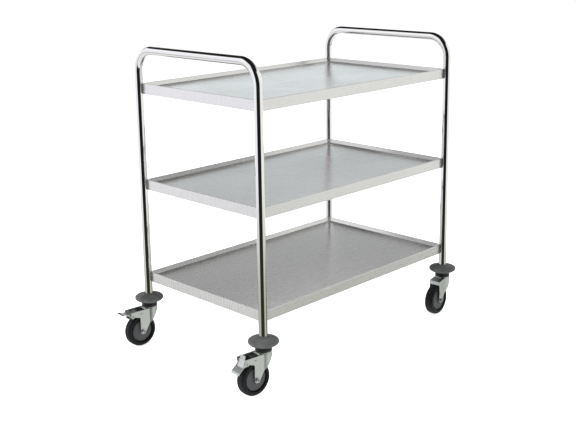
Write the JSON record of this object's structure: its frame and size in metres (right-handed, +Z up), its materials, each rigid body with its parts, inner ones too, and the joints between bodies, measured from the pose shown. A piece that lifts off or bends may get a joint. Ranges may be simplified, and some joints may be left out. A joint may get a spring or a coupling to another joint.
{
  "type": "food service trolley",
  "caption": "Steel food service trolley with tray shelves, bent-tube end frames with push handles, round bumpers, swivel castors and foot brakes.",
  "frame": {"origin": "on the floor, at the middle of the plan of the whole trolley, castors and pedals included", "axes": "+X along the trolley's length, +Y across its depth from the front to the back, +Z up"},
  "size_m": [0.9868, 0.5972, 0.93],
  "materials": {
    "polished_tube": "bright polished stainless steel tube",
    "brushed_sheet": "fine brushed stainless steel sheet",
    "fastener_steel": "plain stainless steel fasteners",
    "zinc_plate": "bright zinc-plated pressed steel",
    "ball_steel": "ground and polished bearing steel",
    "grey_rubber": "matt grey soft rubber",
    "tyre_rubber": "satin dark grey rubber tread",
    "hub_plastic": "moulded dark grey plastic",
    "black_plastic": "moulded black plastic"
  },
  "bodies": {
    "frame": {"end_frame_left": "polished_tube", "end_frame_right": "polished_tube", "top_shelf": "brushed_sheet", "middle_shelf": "brushed_sheet", "bottom_shelf": "brushed_sheet", "top_shelf_stiffener": "brushed_sheet", "middle_shelf_stiffener": "brushed_sheet", "bottom_shelf_stiffener": "brushed_sheet", "shelf_screws": "fastener_steel", "saddle_washers": "fastener_steel", "rivet_nuts": "fastener_steel", "front_left_stem": "zinc_plate", "front_left_seal": "black_plastic", "front_left_bumper": "grey_rubber", "front_left_expander": "zinc_plate", "back_left_stem": "zinc_plate", "back_left_seal": "black_plastic", "back_left_bumper": "grey_rubber", "back_left_expander": "zinc_plate", "front_right_stem": "zinc_plate", "front_right_seal": "black_plastic", "front_right_bumper": "grey_rubber", "front_right_expander": "zinc_plate", "back_right_stem": "zinc_plate", "back_right_seal": "black_plastic", "back_right_bumper": "grey_rubber", "back_right_expander": "zinc_plate"},
    "front_left_castor": {"front_left_fork": "zinc_plate", "front_left_balls": "ball_steel", "front_left_axle": "fastener_steel", "front_left_axle_sleeve": "zinc_plate", "front_left_brake_cover": "black_plastic", "front_left_brake_pins": "fastener_steel"},
    "front_left_wheel": {"front_left_wheel_hub": "hub_plastic", "front_left_tyre": "tyre_rubber"},
    "front_left_pedal": {"front_left_pedal": "zinc_plate", "front_left_brake_shoe": "black_plastic"},
    "back_left_castor": {"back_left_fork": "zinc_plate", "back_left_balls": "ball_steel", "back_left_axle": "fastener_steel", "back_left_axle_sleeve": "zinc_plate", "back_left_brake_cover": "black_plastic", "back_left_brake_pins": "fastener_steel"},
    "back_left_wheel": {"back_left_wheel_hub": "hub_plastic", "back_left_tyre": "tyre_rubber"},
    "back_left_pedal": {"back_left_pedal": "zinc_plate", "back_left_brake_shoe": "black_plastic"},
    "front_right_castor": {"front_right_fork": "zinc_plate", "front_right_balls": "ball_steel", "front_right_axle": "fastener_steel", "front_right_axle_sleeve": "zinc_plate"},
    "front_right_wheel": {"front_right_wheel_hub": "hub_plastic", "front_right_tyre": "tyre_rubber"},
    "back_right_castor": {"back_right_fork": "zinc_plate", "back_right_balls": "ball_steel", "back_right_axle": "fastener_steel", "back_right_axle_sleeve": "zinc_plate"},
    "back_right_wheel": {"back_right_wheel_hub": "hub_plastic", "back_right_tyre": "tyre_rubber"}
  },
  "joints": [
    {"name": "front_left_swivel", "type": "hinge", "parent": "frame", "child": "front_left_castor", "pos_m": [-0.3865, -0.255, 0], "axis": [0, 0, 1], "continuous": true},
    {"name": "front_left_roll", "type": "hinge", "parent": "front_left_castor", "child": "front_left_wheel", "pos_m": [-0.42432, -0.25129, 0.05], "axis": [0.0976, 0.9952, 0], "continuous": true},
    {"name": "front_left_brake", "type": "hinge", "parent": "front_left_castor", "child": "front_left_pedal", "pos_m": [-0.45617, -0.24817, 0.104], "axis": [-0.0976, -0.9952, 0], "range_deg": [-58, 0]},
    {"name": "back_left_swivel", "type": "hinge", "parent": "frame", "child": "back_left_castor", "pos_m": [-0.3865, 0.255, 0], "axis": [0, 0, 1], "continuous": true},
    {"name": "back_left_roll", "type": "hinge", "parent": "back_left_castor", "child": "back_left_wheel", "pos_m": [-0.42435, 0.25831, 0.05], "axis": [0.0872, 0.9962, 0], "continuous": true},
    {"name": "back_left_brake", "type": "hinge", "parent": "back_left_castor", "child": "back_left_pedal", "pos_m": [-0.45623, 0.2611, 0.104], "axis": [-0.0872, -0.9962, 0], "range_deg": [0, 58]},
    {"name": "front_right_swivel", "type": "hinge", "parent": "frame", "child": "front_right_castor", "pos_m": [0.4485, -0.255, 0], "axis": [0, 0, 1], "continuous": true},
    {"name": "front_right_roll", "type": "hinge", "parent": "front_right_castor", "child": "front_right_wheel", "pos_m": [0.41062, -0.25798, 0.05], "axis": [-0.0785, 0.9969, 0], "continuous": true},
    {"name": "back_right_swivel", "type": "hinge", "parent": "frame", "child": "back_right_castor", "pos_m": [0.4485, 0.255, 0], "axis": [0, 0, 1], "continuous": true},
    {"name": "back_right_roll", "type": "hinge", "parent": "back_right_castor", "child": "back_right_wheel", "pos_m": [0.41055, 0.25699, 0.05], "axis": [0.0523, 0.9986, 0], "continuous": true}
  ]
}
